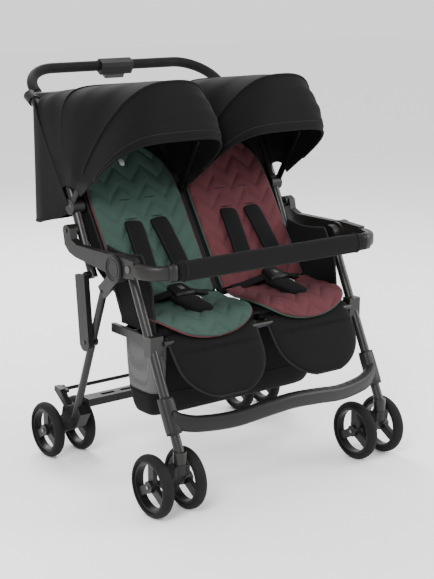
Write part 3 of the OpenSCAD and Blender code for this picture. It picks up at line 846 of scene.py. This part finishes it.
def canopy_grid(side):
    """The canopy's cloth from its rear edge to its brim, with a slight ripple."""
    rows, columns = 84, 61
    grid = np.zeros((rows, columns, 3))
    for i, u in enumerate(np.linspace(0, 1, rows)):
        angle = REAR + (BRIM - REAR) * u
        for j, t in enumerate(np.linspace(0, 1, columns)):
            ripple = 0.0016 * math.sin(9 * t + 4 * u) * math.sin(math.pi * u)
            grid[i, j] = canopy_point(side, angle, t, ripple)
    return grid


def canopy(side):
    """Each canopy: rear cloth up to the bow, then the front dome and its brim."""
    grid = canopy_grid(side)
    obj = sheet_mesh(f"canopy_{side}", grid, MAT["black_cloth"], CANOPY_T)
    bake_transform(obj)
    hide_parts(f"canopy_rear_{side}", f"canopy_front_{side}")
    for name, angle, radius, out in (
            ("bow", BOW, 0.0042, 0.001), ("brim", BRIM - 0.008, 0.0036, 0.0012),
            ("brim_stitch", BRIM - 0.052, 0.0012, 0.0016), ("rear_seam", math.radians(82), 0.0018, 0.0012)):
        path = [canopy_point(side, angle, t, out) for t in np.linspace(0.03, 0.97, 60)]
        material = MAT["thread" if "stitch" in name else "black_cloth"]
        piping = bead(f"canopy_{name}_{side}", path, radius, material)
        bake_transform(piping)
    # plastic ends of the bow, running down to the mounts
    for edge, t in (("outer", 0.0), ("inner", 1.0)):
        foot = np.array([canopy_point(side, BOW, t)[0], MOUNT[1], MOUNT[2]])
        top = canopy_point(side, BOW, 0.10 if t == 0 else 0.90, -0.006)
        slat = sweep_mesh(
            f"canopy_bow_end_{side}_{edge}", smooth_path([foot, foot * 0.55 + top * 0.45, top], 8),
            lambda t: oval(0.0035, 0.010, 16, 3), MAT["plastic"], up=(0, 1, 0.2))
        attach(slat, f"canopy_{side}")


def rear_curtain():
    """Cloth from the crossbar down behind the seats, with a wing round each handle tube."""
    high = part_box("rear_curtain")[1]
    back = high[1] - 0.002
    wing_front = 0.088
    radius = 0.322
    plan = smooth_path(mirrored([
        (0.339, wing_front, 0), (0.341, 0.110, 0), (0.342, 0.170, 0), (0.341, 0.225, 0),
        (0.329, back - 0.006, 0), (0.300, back, 0), (0.150, back + 0.004, 0), (0, back - 0.002, 0)]), 10)
    rows = 30
    grid = np.zeros((rows, len(plan), 3))
    for j, p in enumerate(plan):
        wing = max(0.0, (back - p[1]) / (back - wing_front))
        reach = min(0.999, (p[1] - MOUNT[1]) / radius)
        top = MOUNT[2] + radius * math.sqrt(max(0.0, 1 - reach * reach)) * 0.985
        if wing > 0.02:
            limit = MOUNT[2] + max(0.0, p[1] - MOUNT[1]) * math.tan(REAR + 0.02)
            top = min(top, limit)
        top = min(top, high[2] - 0.002) if wing < 0.02 else top
        bottom = 0.622 + 0.050 * wing ** 1.5
        for i, v in enumerate(np.linspace(0, 1, rows)):
            z = top + (bottom - top) * v
            wave = 0.006 * math.sin(j * 0.33) * v * (1 - wing)
            grid[i, j] = (p[0] * (1 - 0.015 * v * wing), p[1] + wave, z)
    obj = sheet_mesh("rear_curtain_cloth", grid, MAT["black_cloth"], CLOTH_T)
    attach(obj, "handle")
    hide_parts("rear_curtain")
    hem = bead("rear_curtain_hem", grid[-1], 0.003, MAT["black_cloth"])
    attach(hem, "handle")


def seat_gusset(side):
    """Black cloth that closes the gap between a backrest's outer edge and the handle tube."""
    s = SIDES[side]
    rows, columns = 24, 8
    grid = np.zeros((rows, columns, 3))
    for i, v in enumerate(np.linspace(0, 1, rows)):
        inner = back_point(s * 0.289, 0.050 + 0.330 * v, -0.002)
        outer = np.array([s * 0.309, 0.004 + 0.098 * v, 0.535 + 0.195 * v])
        for j, u in enumerate(np.linspace(0, 1, columns)):
            grid[i, j] = inner + (outer - inner) * u + np.array([0, 0.006 * math.sin(math.pi * u), 0])
    obj = sheet_mesh(f"seat_gusset_{side}", grid, MAT["black_cloth"], CLOTH_T)
    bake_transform(obj)


# ---------------------------------------------------------------- basket and side panels

def basket():
    """Cloth basket that sags between the seat tubes: net above at the sides, solid cloth below."""
    low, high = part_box("basket")
    half = high[0] - 0.002
    rim = high[2] - 0.004
    floor = low[2] + 0.004
    front, rear = low[1], high[1]
    columns = 96
    rows = 26
    grid = np.zeros((rows, columns, 3))
    for i, v in enumerate(np.linspace(0, 1, rows)):
        y0, y1 = front + 0.055 * v ** 1.6, rear - 0.030 * v ** 1.6
        z = rim + (floor - rim) * math.sin(v * math.pi / 2) ** 1.15
        shrink = 1 - 0.10 * v ** 2.2
        for j in range(columns):
            a = 2 * math.pi * j / columns
            c, s = math.cos(a), math.sin(a)
            x = half * shrink * math.copysign(abs(c) ** 0.28, c)
            y = (y0 + y1) / 2 + (y1 - y0) / 2 * math.copysign(abs(s) ** 0.38, s)
            sag = 0.0035 * math.sin(3 * a + 1) * math.sin(math.pi * v)
            grid[i, j] = (x * (1 - sag), y + sag, z)
    split = 13
    points = grid.reshape(-1, 3)
    centre = grid[-1].mean(axis=0)
    points = np.concatenate([points] + [centre + (grid[-1] - centre) * k for k in (0.66, 0.33)])
    nets = {"left": [], "right": []}
    solid = []
    for i in range(rows + 1):
        for j in range(columns):
            k = (j + 1) % columns
            face = (i * columns + j, i * columns + k, (i + 1) * columns + k, (i + 1) * columns + j)
            middle = 2 * math.pi * (j + 0.5) / columns
            if i < split and abs(math.sin(middle)) < 0.80:
                nets["right" if math.cos(middle) > 0 else "left"].append(face)
            else:
                solid.append(face)
    solid.append(tuple((rows + 1) * columns + j for j in range(columns)))
    for name, faces, material in (
            ("basket_cloth", solid, "black_cloth"), ("basket_net_left", nets["left"], "mesh"),
            ("basket_net_right", nets["right"], "mesh")):
        used = sorted({v for face in faces for v in face})
        place = {v: k for k, v in enumerate(used)}
        obj = add_mesh(name, points[used], [tuple(place[v] for v in face) for face in faces], MAT[material])
        thick = obj.modifiers.new("thickness", "SOLIDIFY")
        thick.thickness = BASKET_T
        thick.offset = 0
        apply_modifiers(obj)
        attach(obj, "front_frame")
        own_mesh(obj)
        if name == "basket_cloth":
            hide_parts("basket")
    for name, k, radius in (("basket_rim", 0, 0.0045), ("basket_seam", split, 0.0028)):
        ring = bead(name, grid[k], radius, MAT["black_cloth"], closed=True)
        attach(ring, "front_frame")
        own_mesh(ring)


def side_panels():
    """Cloth wings beside the seats, from the front legs to the armrests."""
    low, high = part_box("side_panels")
    rows, columns = 26, 30
    for side, s in SIDES.items():
        x = s * (high[0] - 0.0015)
        grid = np.zeros((rows, columns, 3))
        for i, v in enumerate(np.linspace(0, 1, rows)):
            z = high[2] + (low[2] - 0.012 - high[2]) * v
            y_front = np.interp(z, [0.425, 0.520, 0.594, 0.598], [-0.228, -0.216, -0.178, -0.172])
            y_rear = np.interp(z, [0.425, 0.560, 0.598], [-0.080, -0.012, -0.020])
            for j, u in enumerate(np.linspace(0, 1, columns)):
                bulge = 0.0025 * math.sin(math.pi * u) * math.sin(math.pi * v)
                dip = 0.008 * math.sin(math.pi * u) * (1 - v)
                grid[i, j] = (x + s * bulge, y_front + (y_rear - y_front) * u, z - dip)
        obj = sheet_mesh(f"side_panel_{side}", grid, MAT["black_cloth"], CANOPY_T)
        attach(obj, "front_frame")
        if side == "left":
            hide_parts("side_panels")
        edge = list(grid[::-1, 0]) + list(grid[0, 1:])
        piping = bead(f"side_panel_piping_{side}", edge, 0.0028, MAT["thread"])
        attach(piping, "front_frame")


# ---------------------------------------------------------------- bumper bar and armrests

def bumper_path(step=0.006):
    """Middle line of the bumper bar, from the left armrest's front to the right one's, and how far along."""
    low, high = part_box("bumper_core")
    half = high[0] - 0.011
    start, front = high[1], low[1] + 0.011
    z = (low[2] + high[2]) / 2
    bend = 0.060
    points = [(-half, start + 0.004, z)]
    for a in np.linspace(0, math.pi / 2, 14):
        points.append((-half + bend - bend * math.cos(a), front + bend - bend * math.sin(a), z))
    for x in np.linspace(-half + bend, half - bend, 60)[1:-1]:
        points.append((x, front, z))
    for a in np.linspace(math.pi / 2, 0, 14):
        points.append((half - bend + bend * math.cos(a), front + bend - bend * math.sin(a), z))
    points.append((half, start + 0.004, z))
    path = np.array(points, float)
    steps = np.r_[0, np.cumsum(np.linalg.norm(np.diff(path, axis=0), axis=1))]
    count = int(steps[-1] / step)
    even = np.linspace(0, steps[-1], count)
    return np.stack([np.interp(even, steps, path[:, k]) for k in range(3)], axis=1), even


def bumper():
    """Bumper bar: a plastic end and cuff at each side, and the padded cover with its seams between."""
    path, along = bumper_path()
    end = 0.105
    total = along[-1]
    left = path[along <= end + 0.004]
    right = path[along >= total - end - 0.004]
    for side, part in (("left", left), ("right", right[::-1])):
        arm = sweep_mesh(
            f"bumper_end_{side}", part,
            lambda t: oval(0.0115 - 0.001 * t, 0.0185 - 0.002 * t, 28, 3.2), MAT["armrest"])
        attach(arm, "armrests")
        if side == "left":
            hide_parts("bumper_core")
        cuff = sweep_mesh(
            f"bumper_cuff_{side}", part[-4:], lambda t: oval(0.0150, 0.0215, 28, 3.0), MAT["plastic"])
        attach(cuff, "armrests")
    middle = path[(along > end) & (along < total - end)]

    def padded_ring(t):
        swell = 1 - 0.10 * abs(2 * t - 1) ** 12
        return oval(0.0185 * swell, 0.0240 * swell, 36, 2.5)

    cover = sweep_mesh("bumper_fabric", middle, padded_ring, MAT["black_cloth"])
    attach(cover, "armrests")
    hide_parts("bumper_cover")
    front = np.array([0, -0.0125, -0.0205])
    seam = bead("bumper_seam", [p + front for p in middle[3:-3]], 0.0016, MAT["thread"])
    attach(seam, "armrests")
    for s, k in ((-1, 3), (1, len(middle) - 4)):
        ahead = middle[k + 1] - middle[k - 1]
        ahead /= np.linalg.norm(ahead)
        across = np.cross(ahead, (0, 0, 1))
        ring = [
            middle[k] + a * across * 1.02 + np.array([0, 0, b * 1.02])
            for a, b in oval(0.0187, 0.0242, 40, 2.5)]
        stitch = bead(f"bumper_stitch_{'ab'[s > 0]}", ring, 0.0013, MAT["thread"], closed=True)
        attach(stitch, "armrests")


LEG_TOP = np.array([0, HUB_Y, HUB_Z])
LEG_LOW = np.array([0, -0.370, 0.160])
SLEEVE_Z = 0.240


def footrest():
    """Moulded footrest: a bowed bar with a ribbed top that grows out of a sleeve on each front leg."""
    line = smooth_path(mirrored([
        (FOOTREST_X, -0.334, 0.236), (0.300, -0.348, 0.228), (0.255, -0.364, 0.220),
        (0.170, -0.382, 0.219), (0.080, -0.391, 0.229), (0, -0.393, 0.234)]), 10)
    body = sweep_mesh(
        "footrest_body", line,
        lambda t: oval(0.0165 - 0.003 * abs(2 * t - 1) ** 3, 0.0190 + 0.006 * abs(2 * t - 1) ** 6, 32, 3.2),
        MAT["plastic"])
    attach(body, "front_frame")
    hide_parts("footrest_bar")
    for k, place in enumerate(range(22, len(line) - 22, 3)):
        middle = line[place]
        rib = bead(
            f"footrest_rib_{k}",
            [middle + np.array([0, d, 0.0188 - 0.0013 * (d / 0.008) ** 2])
             for d in np.linspace(-0.0095, 0.0095, 7)],
            0.0014, MAT["plastic"])
        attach(rib, "front_frame")
    down = (LEG_LOW - LEG_TOP) / np.linalg.norm(LEG_LOW - LEG_TOP)
    for side, s in SIDES.items():
        at = LEG_TOP + (LEG_LOW - LEG_TOP) * (HUB_Z - SLEEVE_Z) / 0.416
        at[0] = s * FOOTREST_X
        sleeve = sweep_mesh(
            f"footrest_sleeve_{side}", [at + down * d for d in np.linspace(-0.048, 0.042, 12)],
            lambda t: oval(
                0.0168 - 0.0010 * abs(2 * t - 1) ** 6, 0.0185 - 0.0010 * abs(2 * t - 1) ** 6, 32, 3.0),
            MAT["plastic"], up=(1, 0, 0))
        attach(sleeve, "front_frame")


def hub_caps():
    """Two raised rings on the outer face of each main hub."""
    for side, s in SIDES.items():
        low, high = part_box(f"hub_{side}")
        face = high[0] if s > 0 else low[0]
        centre = np.array([face, HUB_Y, HUB_Z])
        for name, radius, thick in (("rim", 0.0300, 0.0022), ("inner", 0.0215, 0.0012)):
            ring = bead(
                f"hub_{name}_{side}",
                [centre + np.array([0, radius * math.cos(a), radius * math.sin(a)])
                 for a in np.linspace(0, 2 * math.pi, 56, endpoint=False)],
                thick, MAT["armrest"], closed=True)
            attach(ring, "front_frame")


# ---------------------------------------------------------------- run

def main():
    make_camera()
    make_stage()
    make_materials()
    paint_frame()
    for side in SIDES:
        backrest_shell(side)
        quilted_back(side)
        liner_edge(side)
        seat_cushion(side)
        quilted_seat(side)
        calf_rest(side)
        shoulder_pads(side)
        crotch_harness(side)
        badge(side)
        canopy(side)
        seat_gusset(side)
    rear_curtain()
    seat_bridge()
    basket()
    side_panels()
    bumper()
    footrest()
    hub_caps()


main()
